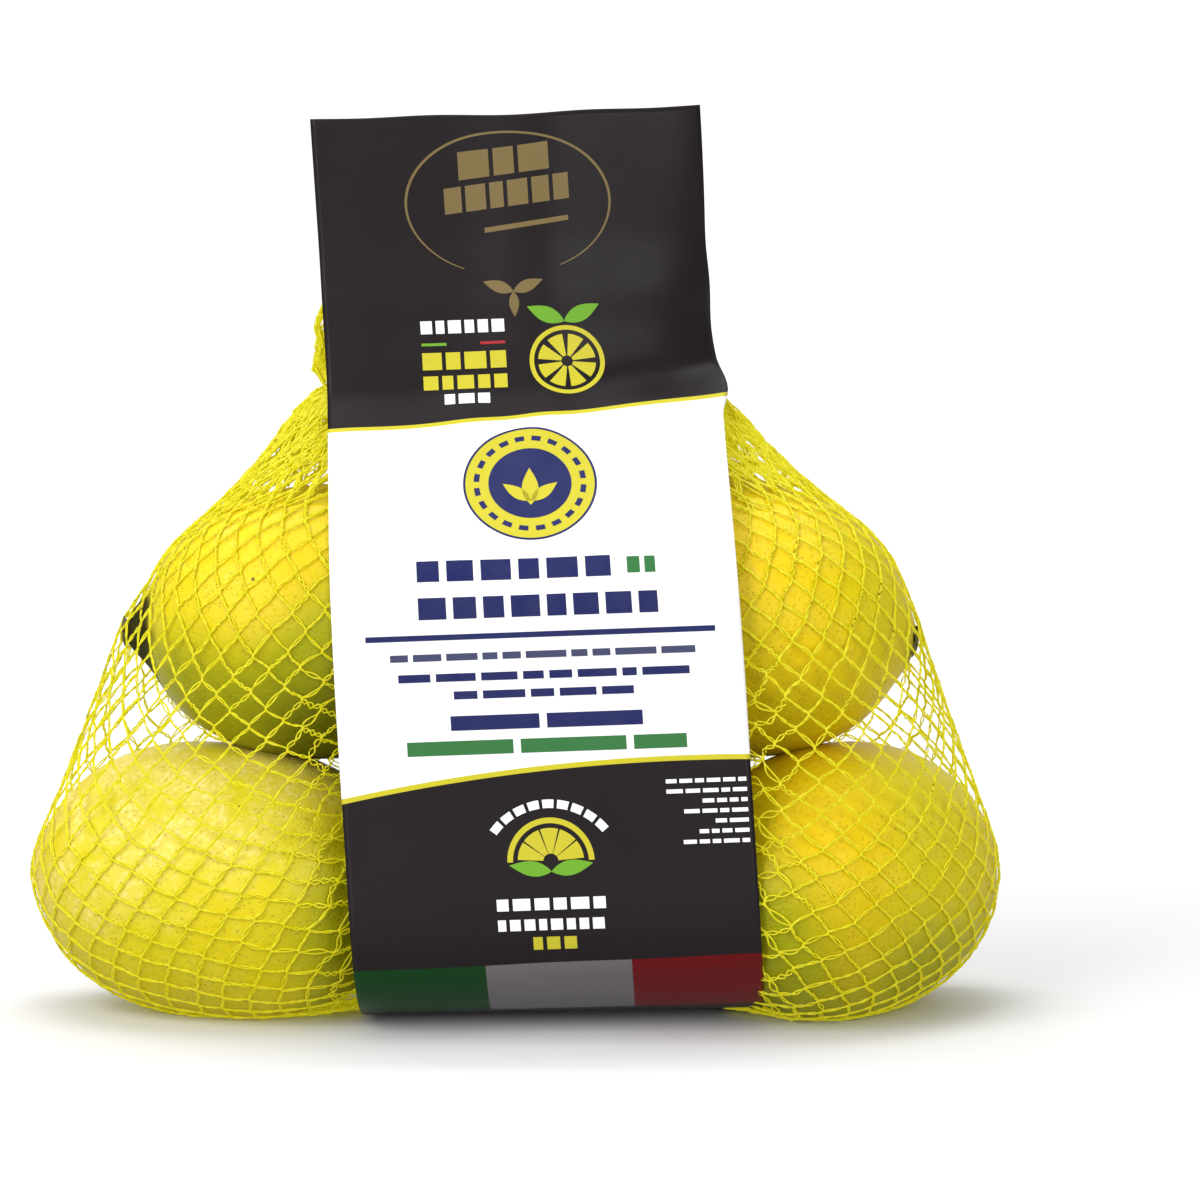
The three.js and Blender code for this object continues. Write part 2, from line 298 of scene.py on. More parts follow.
def settle(net, rounds=500, step=0.45, tight=0.5, loose=0.01, lay_back=10):
    """lets the meshes slide over the taut form until no strand is much longer than STRAND: a
    round mends tight of what a strand is too long and loose of what it is too short. Returns
    the net and how slack it is at each point."""
    faces = grid_faces(len(net), NET_COLUMNS, closed=True)
    taut = BVHTree.FromPolygons(net.reshape(-1, 3).tolist(), faces.tolist())
    out = even_meshes(net)
    free = slice(1, NET_ROWS)
    lengths = STRAND * (1 + STRAND_SPREAD * rng.normal(size=(2, len(net) - 1, NET_COLUMNS)))
    for turn in range(rounds):
        move = np.zeros_like(out)
        for own, side in zip(lengths, (1, -1)):
            span = np.roll(out[1:], -side, 1) - out[:-1]
            now = np.linalg.norm(span, axis=-1)
            hold = np.where(now > own, tight, loose) * (now - own) / now
            move[:-1] += span * hold[..., None]
            move[1:] -= np.roll(span * hold[..., None], side, 1)
        even = (np.roll(out, 1, 1) + np.roll(out, -1, 1)) / 2 - out
        out[free] += step * move[free] + EVENNESS * even[free]
        if turn % lay_back == lay_back - 1:
            flat = out[free].reshape(-1, 3)
            flat[:] = [taut.find_nearest(Vector(p))[0] for p in flat]
            out[free] = flat.reshape(out[free].shape)
    keep_outside(out[free], NET_SKIN)
    now = [np.linalg.norm(np.roll(out[1:], -side, 1) - out[:-1], axis=-1) for side in (1, -1)]
    slack = np.zeros(out.shape[:2])
    slack[:-1] = smooth(1 - np.minimum(*now) / STRAND, *SLACK_SHORT)
    low = 1 - smooth(out[..., 2], *SLACK_HEIGHT)
    slack += (1 - smooth(beside_film(out), *SLACK_BESIDE)) * low
    slack[NET_ROWS - TIGHT_UPPER:] = slack[:TIGHT_LOWER] = 0
    return out, np.minimum(slack, 1)


form = tight_net()
lattice, slack = settle(form)


# ---- the film's shape ----
def taut_path(net):
    """side view of the film round the net, as [y, height] from the neck down the front and up
    the back: the convex outline of all that the band covers"""
    p = net.reshape(-1, 3)
    beside = p[:, 0] - band_middle(p[:, 2])
    height = p[:, 2] - beside * RISE * smooth(p[:, 2], 0, RISE_FROM)
    use = (np.abs(beside) < BAND_WIDTH / 2 + COVER_BEYOND) & (height < NECK_FOOT - 0.5)
    neck = NECK_THICK / 2
    points = np.concatenate([np.stack([p[use, 1], height[use]], 1),
                             [[-neck, NECK_FOOT], [neck, NECK_FOOT]]])
    points = points[np.lexsort((points[:, 1], points[:, 0]))]

    def chain(rest):
        hull = []
        for q in rest:
            while len(hull) > 1:
                (ox, oy), (ax, ay) = hull[-2], hull[-1]
                if (ax - ox) * (q[1] - oy) - (ay - oy) * (q[0] - ox) > 0:
                    break
                hull.pop()
            hull.append(q)
        return hull

    loop = np.array(chain(points)[:-1] + chain(points[::-1])[:-1])
    start = int(np.argmin(np.hypot(loop[:, 0] + neck, loop[:, 1] - NECK_FOOT)))
    return np.roll(loop, -start, 0)


def normals_of(line):
    along = unit(np.gradient(line, axis=0))
    return np.stack([along[:, 1], -along[:, 0]], 1)


def film_line(net):
    """the film's middle in side view, one point a millimetre, from the header's top edge down
    the front and up the back to the header's top edge again"""
    loop = taut_path(net)
    body = resample(loop, np.arange(0, spans(loop).sum(), 1.0))
    body = (body + normals_of(body) * FILM_OUT)[BODY_CUT:-BODY_CUT]
    header = [(SEAL_HALF, BAND_TOP), (SEAL_HALF, SEAL_FOOT), (POCKET_HALF, POCKET),
              (POCKET_HALF, POCKET_FOOT)]
    front = np.array([(-half, z) for half, z in header])
    back = np.array(header[::-1])
    line = np.concatenate([front, body, back])
    total = spans(line).sum()
    line = resample(line, np.linspace(0, total, int(round(total)) + 1))
    far = STIFF_REACH
    kernel = np.exp(-0.5 * (np.arange(-far, far + 1) / STIFF_WIDTH) ** 2)
    kernel /= kernel.sum()
    padded = np.concatenate([2 * line[0] - line[far:0:-1], line,
                             2 * line[-1] - line[-2:-far - 2:-1]])
    line = np.stack([np.convolve(padded[:, k], kernel, "valid") for k in (0, 1)], 1)
    line[:, 1] = np.maximum(line[:, 1], FILM_LOWEST)
    return line


LINE = film_line(form)
LINE_NORMAL = normals_of(LINE)
FILM_LENGTH = len(LINE) - 1


def along_film(s, values):
    """the value at s of a quantity that is given at each millimetre down the film"""
    return np.interp(s, np.arange(len(values)), values)


def film_waves(u, s, from_top, off):
    """how far the film is outside its line: off, the header's waves, and pleats and crinkles in
    the film below it"""
    back = smooth(s, FILM_LENGTH / 2 - 10, FILM_LENGTH / 2 + 10)
    wide = 0.55 * np.sin(u / 8.5 + 0.8) * np.sin(u / 23 + 2.2)
    waves = wide + 0.25 * np.sin(u / 5.1 + from_top / 60)
    sway = (1 - smooth(from_top, *WAVES_END)) * waves * (1 - 2 * back)
    folds = 1 + np.sin(u / 3.3 + np.sin(u / 9))
    pleat = np.exp(-((from_top - PLEAT_AT) / PLEAT_REACH) ** 2) * PLEAT_HIGH * folds
    dents = 1 + np.sin(u / 7.3 + np.sin(s / 19) * 2.1) * np.sin(s / 13.7 + u / 31)
    lower = smooth(from_top, 50, 75)
    off_table = smooth(along_film(s, LINE[:, 1]), 2, 16)
    return off + sway + (pleat + CRINKLE_HIGH * dents) * lower * off_table


def film_point(u, s, off=0.0):
    """a place on the film: u across it, s down it from the header's top edge, off outside it"""
    u, s = np.broadcast_arrays(np.asarray(u, float), np.asarray(s, float))
    from_top = np.minimum(s, FILM_LENGTH - s)
    lift = film_waves(u, s, from_top, off)
    y, h = (along_film(s, LINE[:, k]) + along_film(s, LINE_NORMAL[:, k]) * lift for k in (0, 1))
    h = h + (FOOT_RISE + FOOT_TILT * u) * smooth(-y, 4, 20) * (1 - smooth(h, 8, 26))
    dip = TOP_DIP * (1 + np.sin(u / 7 + 1.5) * np.cos(u / 19))
    h = h - dip * (1 - smooth(from_top, 0, 14))
    across = u * (1 - GATHER * smooth(h, NECK_FOOT / 2, NECK_FOOT))
    z = h + across * RISE * smooth(h, 0, RISE_FROM)
    return curl_back(np.stack([band_middle(h) + across, y, z], -1))


# ---- mesh and material helpers ----
def add_object(name, data):
    obj = bpy.data.objects.new(name, data)
    bpy.context.scene.collection.objects.link(obj)
    return obj


def make_object(name, points, faces, material, stands_for=None):
    """a smooth mesh object; faces is an integer array, one row a face"""
    points = np.asarray(points, float).reshape(-1, 3) * MM
    faces = np.asarray(faces, int)
    sides = faces.shape[1]
    mesh = bpy.data.meshes.new(name)
    mesh.vertices.add(len(points))
    mesh.vertices.foreach_set("co", points.ravel())
    mesh.loops.add(faces.size)
    mesh.loops.foreach_set("vertex_index", faces.ravel())
    mesh.polygons.add(len(faces))
    mesh.polygons.foreach_set("loop_start", np.arange(len(faces)) * sides)
    mesh.update(calc_edges=True)
    mesh.polygons.foreach_set("use_smooth", np.ones(len(faces), bool))
    mesh.materials.append(material)
    mesh.validate()
    obj = add_object(name, mesh)
    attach(obj, "root")
    if stands_for:
        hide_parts(stands_for)
    return obj


class Nodes:
    """a material's node tree, built with calls that return output sockets"""

    def __init__(self, name):
        self.material = bpy.data.materials.new(name)
        self.material.use_nodes = True
        self.tree = self.material.node_tree
        self.shader = self.tree.nodes["Principled BSDF"]

    def add(self, kind, inputs=(), **settings):
        node = self.tree.nodes.new("ShaderNode" + kind)
        for key, value in settings.items():
            setattr(node, key, value)
        for key, value in dict(inputs).items():
            self.put(node.inputs[key], value)
        return node

    def put(self, socket, value):
        if isinstance(value, bpy.types.NodeSocket):
            self.tree.links.new(value, socket)
        else:
            socket.default_value = value

    def math(self, operation, a, b):
        return self.add("Math", {0: a, 1: b}, operation=operation).outputs[0]

    def plus(self, a, b):
        return self.math("ADD", a, b)

    def minus(self, a, b):
        return self.math("SUBTRACT", a, b)

    def times(self, a, b):
        return self.math("MULTIPLY", a, b)

    def mix(self, factor, a, b):
        return self.add("Mix", {0: factor, 6: a, 7: b}, data_type="RGBA").outputs[2]

    def between(self, value, low, high):
        """0 below low, 1 above high, smooth between"""
        node = self.add("MapRange", {"Value": value, "From Min": low, "From Max": high})
        node.interpolation_type = "SMOOTHSTEP"
        return node.outputs[0]

    def noise(self, scale, detail=2.0):
        """noise about 0 to 1 whose blotches are scale millimetres"""
        where = self.add("TexCoord").outputs["Object"]
        node = self.add("TexNoise", {"Vector": where, "Scale": 1000 / scale, "Detail": detail})
        return node.outputs[0]

    def set(self, **values):
        for key, value in values.items():
            self.put(self.shader.inputs[key.replace("_", " ")], value)
        return self

    def bump(self, height, distance, strength=1.0):
        """a bump of height, 0 to 1, that is distance millimetres high"""
        sizes = {"Height": height, "Distance": distance * MM, "Strength": strength}
        return self.set(Normal=self.add("Bump", sizes).outputs[0])


# ---- lemons ----
RIND = srgb(215, 201, 10)
# painted light: a pale lit rind, and its speckled glints as painted highlights
RIND_PAINTED_LIGHT = srgb(232, 214, 108)
RIND_GLINT = srgb(248, 232, 160)
RIND_AMBER = srgb(230, 192, 4)
# olive and dark green: the rind's own tint, with painted shade low down and beside the film
RIND_OLIVE_SHADE = srgb(158, 158, 14)
RIND_GREEN_SHADE = srgb(84, 90, 12)
PORE = srgb(156, 138, 14)
# the stem end's own dark green, darkened further as painted shade
STEM_GREEN_SHADE = srgb(46, 44, 10)
SPECK = srgb(52, 44, 20)
STEM_DARK, STEM_PALE = srgb(58, 52, 22), srgb(112, 104, 44)
PORES_A_METRE, SPECKS_A_METRE = 900.0, 62.0
LEMON_RINGS, LEMON_SIDES = 96, 120
DENT, DENT_WIDE = 1.6, 0.09  # depth round the stem end's middle, and its width in radians
BUTTON_RINGS, BUTTON_SIDES = 7, 40
BUTTON_RADIUS, BUTTON_HIGH, BUTTON_SUNK = 3.1, 0.9, 1.3


def rind_material():
    n = Nodes("lemon_rind")
    green, amber, stem, pale = (n.add("Attribute", attribute_name=name).outputs["Fac"]
                                for name in ("green", "amber", "stem", "pale"))
    where = n.add("TexCoord").outputs["Object"]
    # painted light: pale rind where the lemon faces the key light, with painted glints in it
    painted_light_share = n.times(pale, n.between(n.noise(9, 3), 0.25, 0.7))
    colour = n.mix(painted_light_share, RIND, RIND_PAINTED_LIGHT)
    glint = n.times(painted_light_share, n.between(n.noise(1.5, 2), 0.50, 0.64))
    colour = n.mix(n.times(glint, 0.75), colour, RIND_GLINT)
    colour = n.mix(amber, colour, RIND_AMBER)
    # painted shade with olive tint: olive and dark green low down and beside the film
    colour = n.mix(n.between(green, 0.0, 0.5), colour, RIND_OLIVE_SHADE)
    colour = n.mix(n.between(green, 0.45, 1.0), colour, RIND_GREEN_SHADE)
    wobble = n.add("TexNoise", {"Vector": where, "Scale": 380.0}).outputs[1]
    wobble = n.add("VectorMath", {0: wobble, "Scale": 0.0012}, operation="SCALE").outputs[0]
    moved = n.add("VectorMath", {0: where, 1: wobble}, operation="ADD").outputs[0]
    cells = n.add("TexVoronoi", {"Vector": moved, "Scale": PORES_A_METRE}).outputs["Distance"]
    pit = n.minus(1.0, n.between(cells, 0.12, 0.30))
    patchy = n.between(n.noise(9, 2), 0.3, 0.7)
    colour = n.mix(n.times(pit, n.times(patchy, 0.6)), colour, PORE)
    spots = n.add("TexVoronoi", {"Vector": where, "Scale": SPECKS_A_METRE}).outputs["Distance"]
    speck = n.minus(1.0, n.between(spots, 0.020, 0.034))
    colour = n.mix(n.times(speck, 0.85), colour, SPECK)
    # stem end: its own dark green with painted shade
    colour = n.mix(stem, colour, STEM_GREEN_SHADE)
    rough = n.plus(0.34, n.times(n.noise(3, 2), 0.14))
    rough = n.plus(rough, n.times(stem, 0.45))
    n.set(Base_Color=colour, Roughness=rough, Specular_IOR_Level=0.15, Subsurface_Weight=0.08,
          Subsurface_Radius=(1.0, 0.6, 0.1), Subsurface_Scale=0.002)
    dome = n.times(n.between(cells, 0.06, 0.45), 0.15)
    swell = n.times(n.noise(5, 2), 0.5)
    return n.bump(n.plus(dome, swell), 1.0, 0.7).material


def stem_material():
    n = Nodes("lemon_stem_end")
    colour = n.mix(n.noise(1.2, 3), STEM_DARK, STEM_PALE)
    n.set(Base_Color=colour, Roughness=0.8)
    return n.bump(n.noise(0.7, 3), 0.4).material


def tint_and_paint_light(obj, name, index, points, direction, angle):
    """gives a lemon's mesh its shares of olive tint with painted shade, amber, dark stem end with
    painted shade, and pale painted light; direction points from its middle, and angle is the one
    from its tip"""
    tints = RIND_TINTS_AND_PAINTED_LIGHT[name]
    beside = beside_film(points)
    near = 1 - smooth(beside, -2, 24)
    high = points[..., 2] - LEMONS[name]["at"][2]
    # painted shade: olive darkening low down and beside the film, where shade falls, over the
    # rind's own olive tint
    low_olive_and_shade = tints["low"] * (1 - smooth(high, -24, 14))
    near_olive_and_shade = tints["near"] * near * (1 - 0.6 * smooth(high, -6, 20))
    green = low_olive_and_shade + near_olive_and_shade + 0.12 * field(points, 24, index + 20)
    amber = tints["amber"] * (1 - smooth(beside, 4, 48)) + 0.25 * field(points, 30, 40 + index)
    # the dark patch round the stem end: partly its own green, partly painted shade
    edge = (np.pi - angle)[:, None] + 0.04 * field(points, 5, 60 + index)
    stem = tints["dark"] * (1 - smooth(edge, tints["patch"] - 0.07, tints["patch"] + 0.05))
    # painted light: the rind is paler on the side facing up and left, towards the key light
    front = smooth(direction[..., 2] - 0.4 * direction[..., 0], -0.3, 0.7)
    pale = np.clip(tints["painted_light_share"] * front + 0.15 * field(points, 18, index + 80), 0.08, 0.95)
    green, amber = np.clip(green, 0, 0.85), np.clip(amber, 0, 0.8)
    for layer, values in (("green", green), ("amber", amber), ("stem", stem), ("pale", pale)):
        data = obj.data.attributes.new(layer, "FLOAT", "POINT")
        data.data.foreach_set("value", np.asarray(values, float).ravel())


def stem_button(index, lemon, right, up):
    """points of the small five-lobed button in the stem end's dent"""
    centre, axis = place_of(lemon)
    around = np.arange(BUTTON_SIDES) / BUTTON_SIDES * 2 * np.pi
    reach = np.linspace(0, 1, BUTTON_RINGS)[:, None]
    uneven = (1 + 0.16 * np.cos(5 * around) + 0.05 * np.cos(2 * around + index))[None, :]
    height = BUTTON_HIGH * (1 - reach ** 2) + 0.35 * np.sin(5 * around)[None, :] * reach
    base = float(rind_radius(lemon, np.array(-1.0))) - BUTTON_SUNK
    flat = reach * (BUTTON_RADIUS * uneven)
    return (centre - axis * (base + height)[..., None]
            + (flat * np.cos(around))[..., None] * right
            + (flat * np.sin(around))[..., None] * up)


def make_lemon(index, name, lemon, rind, stem):
    centre, axis = place_of(lemon)
    up = np.array([0, 0, 1.0])
    right = unit(np.cross(axis, up))
    up = np.cross(right, axis)
    angle = np.linspace(0, np.pi, LEMON_RINGS)
    turn = np.arange(LEMON_SIDES) / LEMON_SIDES * 2 * np.pi
    c, s = np.cos(angle)[:, None, None], np.sin(angle)[:, None, None]
    round_ = np.cos(turn)[None, :, None] * right + np.sin(turn)[None, :, None] * up
    direction = c * axis + s * round_
    radius = rind_radius(lemon, np.cos(angle))[:, None]
    lumps = 0.7 * field(direction * 30, 26, index + 1) + 0.3 * field(direction * 30, 9, index + 9)
    radius = radius * (1 - 0.004 * (0.5 + lumps) * np.sin(angle)[:, None] ** 0.5)
    dent = DENT * np.exp(-(np.pi - angle) / DENT_WIDE)[:, None]
    points = centre + direction * (radius - dent)[..., None]
    keep_above(points, LEMON_LOWEST)
    faces = grid_faces(LEMON_RINGS, LEMON_SIDES, closed=True)
    obj = make_object("lemon_" + name, points, faces, rind, "net_bag")
    tint_and_paint_light(obj, name, index, points, direction, angle)
    faces = grid_faces(BUTTON_RINGS, BUTTON_SIDES, closed=True)[:, ::-1]
    button = stem_button(index, lemon, right, up)
    make_object("stem_end_" + name, button, faces, stem, "net_bag")


materials = rind_material(), stem_material()
for index, (name, lemon) in enumerate(LEMONS.items()):
    make_lemon(index, name, lemon, *materials)


# ---- net ----
YARN, YARN_PALE = srgb(220, 212, 14), srgb(238, 231, 62)
YARN_PAINTED_GLOW, PAINTED_GLOW_SHARE = srgb(232, 223, 30), 0.24  # painted light: the yarn glows, lifting it where it is in shade
YARN_THROUGH, THROUGH_SHARE = srgb(244, 242, 40), 0.45  # for light through it
TUBE_SIDES = 3
WOUND_POINTS, GATHERED_POINTS = 7, 4  # points along a filament
GATHERED_FROM = (0.77, 0.92)  # shares of the net's rows where its gathering starts and ends


def net_material():
    n = Nodes("net_yarn")
    colour = n.mix(n.between(n.noise(1.1, 2), 0.35, 0.65), YARN, YARN_PALE)
    # painted light: the emission makes the yarn glow though it is no lamp
    n.set(Base_Color=colour, Roughness=0.36, Specular_IOR_Level=0.35,
          Emission_Color=YARN_PAINTED_GLOW, Emission_Strength=PAINTED_GLOW_SHARE)
    glow = n.add("BsdfTranslucent", {"Color": YARN_THROUGH})
    both = n.add("MixShader", {0: THROUGH_SHARE, 1: n.shader.outputs[0], 2: glow.outputs[0]})
    n.put(n.tree.nodes["Material Output"].inputs["Surface"], both.outputs[0])
    return n.material


def net_normals(net):
    """directions out of the net at its points"""
    around = np.roll(net, -1, 1) - np.roll(net, 1, 1)
    return unit(np.cross(around, np.gradient(net, axis=0)))


def tubes(paths, radius):
    """open tubes along many polylines at once: paths is [tube, point, xyz]"""
    along = unit(np.gradient(paths, axis=1), TINY)
    first = unit(np.cross(along, (0.31, 0.52, 0.79)), TINY)
    second = np.cross(along, first)
    turn = np.arange(TUBE_SIDES) / TUBE_SIDES * 2 * np.pi
    ring = (np.cos(turn)[:, None] * first[..., None, :] + np.sin(turn)[:, None]
            * second[..., None, :]) * radius[:, None, None, None]
    points = (paths[..., None, :] + ring).reshape(-1, 3)
    per_tube = grid_faces(paths.shape[1], TUBE_SIDES, closed=True)
    start = np.arange(len(paths)) * paths.shape[1] * TUBE_SIDES
    return points, (per_tube[None] + start[:, None, None]).reshape(-1, 4)


def knots(places, along, out, length=0.75, radius=0.38):
    """small stretched beads where strands are knitted together"""
    side = np.cross(along, out)
    corners = [along * length, -along * length, side * radius, -side * radius, out * radius,
               -out * radius]
    points = np.stack([places + c for c in corners], 1).reshape(-1, 3)
    faces = [(0, 4, 2), (0, 3, 4), (0, 5, 3), (0, 2, 5), (1, 2, 4), (1, 4, 3), (1, 3, 5),
             (1, 5, 2)]
    start = np.arange(len(places)) * len(corners)
    return points, (np.array(faces)[None] + start[:, None, None]).reshape(-1, 3)


def draw(count, low, high):
    """chance values for count strands, in the net's one order of draws"""
    return rng.uniform(low, high, count)[:, None, None]


def wound_filaments(start, end, up, give, bundle):
    """lines and radii of the two filaments of many strands at once, wound loosely round each
    other and parted more where the net is slack"""
    count = len(start)
    t = np.linspace(0, 1, WOUND_POINTS)[None, :, None]
    side = unit(np.cross(end - start, up), TINY)[:, None]
    line = start[:, None] + (end - start)[:, None] * t
    give, bundle = give[:, None, None], bundle[:, None, None]
    turns = rng.choice([1, 1, 2, 2, 3], count)[:, None, None] * np.pi
    width = LOOP * draw(count, 0.35, 1.2) * (0.7 + 1.3 * give - 0.3 * bundle)
    width = width * np.clip(np.linalg.norm(end - start, axis=-1)[:, None, None] / 4, 0.3, 1)
    open_ = 0.35 + 0.65 * np.sin(np.pi * t) ** 0.6
    sway = draw(count, -1, 1) * (0.25 + 0.9 * give) * np.sin(np.pi * t)
    lift = (0.5 + 1.0 * give * draw(count, 0, 1)) * t * (1 - t)
    paths, radii = [], []
    for way in (1, -1):
        phase = draw(count, -0.6, 0.6)
        kink = draw(count, -0.12, 0.12) * (1 + 2 * give)
        kink = kink * np.sin(2 * np.pi * t + draw(count, 0, 6))
        across = way * width * open_ * np.sin(turns * t + phase) + sway + kink
        over = 0.15 * way * np.cos(turns * t + phase) + lift
        paths.append(line + side * across + up[:, None] * over)
        radii.append(FILAMENT * (draw(count, 0.85, 1.2) + 0.3 * bundle)[:, 0, 0])
    return np.concatenate(paths), np.concatenate(radii)


def gathered_filaments(start, end, up, bundle):
    """lines and radii of the further filaments that lie beside a strand where the net is
    gathered"""
    paths = []
    t = np.linspace(0, 1, GATHERED_POINTS)[None, :, None]
    for extra in range(GATHERED):
        own = bundle > 0.1 + 0.15 * extra
        a, b, out = start[own], end[own], up[own, None]
        count = len(a)
        side = unit(np.cross(b - a, up[own]), TINY)[:, None]
        across = draw(count, -1.2, 1.2) * (0.74 + 0.26 * np.sin(np.pi * t))
        across = across + draw(count, -0.3, 0.3) * np.sin(2 * np.pi * t)
        over = 0.1 * (extra - GATHERED / 2) - 0.2 + 1.2 * t * (1 - t)
        reach = (t - 0.5) * (1 + draw(count, 0.05, 0.4)) + 0.5
        paths.append(a[:, None] + (b - a)[:, None] * reach + side * across + out * over)
    paths = np.concatenate(paths)
    return paths, np.full(len(paths), FILAMENT * 1.1)


def make_net():
    rows, columns = len(lattice) - 1, NET_COLUMNS
    out, along = net_normals(lattice), unit(np.gradient(lattice, axis=0), TINY)
    ease = slack * smooth(beside_film(lattice), -1, 3)
    gathered = smooth(np.arange(rows + 1) / NET_ROWS, *GATHERED_FROM)
    gathered = np.repeat(gathered[:, None], columns, 1)
    # chance moves the meshes along the net, and off it where it is slack
    shake = rng.normal(0, 1, lattice.shape) * (0.22 + 0.5 * ease + 0.12 * gathered)[..., None]
    shake += along * (rng.normal(0, 0.8, ease.shape) * gathered)[..., None]
    shake[0] = 0
    shake -= np.einsum("rck,rck->rc", shake, out)[..., None] * out
    loose = np.abs(rng.normal(0, 0.7, ease.shape)) * ease
    nodes = lattice + shake + out * loose[..., None]
    keep_above(nodes[1:NET_ROWS], NODE_LOWEST)
    material = net_material()
    i, j = np.meshgrid(np.arange(rows), np.arange(columns), indexing="ij")
    even = (i + j) % 2 == 0
    i, j = i[even], j[even]
    for part in range(NET_PARTS):
        own = j * NET_PARTS // columns == part
        a = (i[own], j[own])
        points, faces, count = [], [], 0
        for step in (1, -1):
            b = (a[0] + 1, (a[1] + step) % columns)
            start, end = nodes[a] + along[a] * JOINT, nodes[b] - along[b] * JOINT
            up, give = unit(out[a] + out[b], TINY), (ease[a] + ease[b]) / 2
            bundle = gathered[a]
            for lines, thick in (wound_filaments(start, end, up, give, bundle),
                                 gathered_filaments(start, end, up, bundle)):
                tube_points, tube_faces = tubes(lines, thick)
                points.append(tube_points)
                faces.append(tube_faces + count)
                count += len(tube_points)
        points = np.concatenate(points)
        keep_above(points, 0)
        make_object(f"net_part_{part + 1}", curl_back(points), np.concatenate(faces), material,
                    "net_bag")
    points, faces = knots(nodes[i, j], along[i, j], out[i, j])
    keep_above(points, 0)
    make_object("net_knots", curl_back(points), faces, material, "net_bag")


make_net()

# ---- film ----
INK = srgb(27, 21, 23)
YELLOW = srgb(200, 190, 44)
WHITE = srgb(250, 250, 250)
GOLD = srgb(118, 101, 60)
NAVY = srgb(22, 30, 88)
GREEN = srgb(50, 114, 60)
LEAF = srgb(108, 168, 40)
RED = srgb(170, 34, 46)
SLATE = srgb(64, 68, 100)
# green, white and red print, painted darker as shade where the film turns under the pack; the
# white is painted grey
STRIPES_SHADED = (srgb(4, 58, 16), srgb(108, 104, 107), srgb(104, 4, 10))
STRIPE_TOP, STRIPE_FOOT = 192.6, 214  # down from the header's top edge
STRIPE_EDGES = (-15.3, 15.7)
# the lines where the dark fields end: place down the film at its middle, slope and bend
UPPER_LINE, LOWER_LINE = (67.8, -0.0706, -0.00045), (149.9, -0.0756, 0.00127)
YELLOW_UPPER, YELLOW_LOWER = 1.0, 1.1  # widths of the yellow lines along them
SHARP = 0.05  # half the width in which one printed colour turns to the next
MAP_WIDE, MAP_LONG = 100.0, 500.0  # millimetres that the print's map spans
FILM_COLUMNS, FILM_ROWS = 73, 340
GREY, WEAR = srgb(128, 128, 124), 0.10  # what worn print fades to, and how far
PRINT_FACE = 1.5  # about how long one face of the small print is


def film_material():
    """the film's large fields: dark, yellow edge lines, white, and the three-colour stripe, whose
    print colours are painted darker as shade
    """
    n = Nodes("printed_film")
    place = n.add("UVMap", uv_map="print").outputs[0]
    split = n.add("SeparateXYZ", {0: place})
    u = n.times(n.minus(split.outputs[0], 0.5), MAP_WIDE)
    s = n.times(split.outputs[1], MAP_LONG)

    def curve(place, slope, bend):
        bent = n.times(n.times(u, u), bend)
        return n.plus(n.plus(n.times(u, slope), bent), place)

    def past(value, edge):
        return n.between(value, edge - SHARP, edge + SHARP)

    past_upper, past_lower = n.minus(s, curve(*UPPER_LINE)), n.minus(s, curve(*LOWER_LINE))
    colour = n.mix(past(past_upper, 0.0), INK, YELLOW)
    colour = n.mix(past(past_upper, YELLOW_UPPER), colour, WHITE)
    colour = n.mix(past(past_lower, -YELLOW_LOWER), colour, YELLOW)
    colour = n.mix(past(past_lower, 0.0), colour, INK)
    # the three-colour stripe, its print darkened as painted shade
    stripe = n.mix(past(u, STRIPE_EDGES[0]), STRIPES_SHADED[0], STRIPES_SHADED[1])
    stripe = n.mix(past(u, STRIPE_EDGES[1]), stripe, STRIPES_SHADED[2])
    on = n.times(past(s, STRIPE_TOP), n.minus(1.0, past(s, STRIPE_FOOT)))
    colour = n.mix(on, colour, stripe)
    rough = n.plus(0.30, n.times(n.noise(26, 2), 0.16))
    n.set(Base_Color=colour, Roughness=rough, Specular_IOR_Level=0.15)
    return n.bump(n.noise(9, 3), 0.25, 0.5).material


def make_film():
    across = np.linspace(-BAND_WIDTH / 2, BAND_WIDTH / 2, FILM_COLUMNS)
    down = np.linspace(0, FILM_LENGTH, FILM_ROWS)
    u, s = np.meshgrid(across, down)
    outer, inner = film_point(u, s, FILM_HALF), film_point(u, s, -FILM_HALF)
    rows, columns = u.shape
    size = rows * columns
    faces = [grid_faces(rows, columns)[:, ::-1], grid_faces(rows, columns, start=size)]
    for c in (0, columns - 1):
        r = np.arange(rows - 1)
        a, b = r * columns + c, (r + 1) * columns + c
        wall = np.stack([a, b, b + size, a + size], 1)
        faces.append(wall if c else wall[:, ::-1])
    for r in (0, rows - 1):
        c = np.arange(columns - 1)
        a, b = r * columns + c, r * columns + c + 1
        wall = np.stack([b, a, a + size, b + size], 1)
        faces.append(wall if r else wall[:, ::-1])
    points = np.concatenate([outer.reshape(-1, 3), inner.reshape(-1, 3)])
    obj = make_object("printed_film_band", points, np.concatenate(faces), film_material(),
                      "band")
    print_u = np.where(s > FILM_LENGTH / 2, -u, u).ravel() / MAP_WIDE + 0.5
    print_s = np.minimum(s, FILM_LENGTH - s).ravel() / MAP_LONG
    uv = np.tile(np.stack([print_u, print_s], 1), (2, 1))
    layer = obj.data.uv_layers.new(name="print")
    loops = np.empty(len(obj.data.loops), np.int32)
    obj.data.loops.foreach_get("vertex_index", loops)
    layer.data.foreach_set("uv", uv[loops].ravel())


make_film()


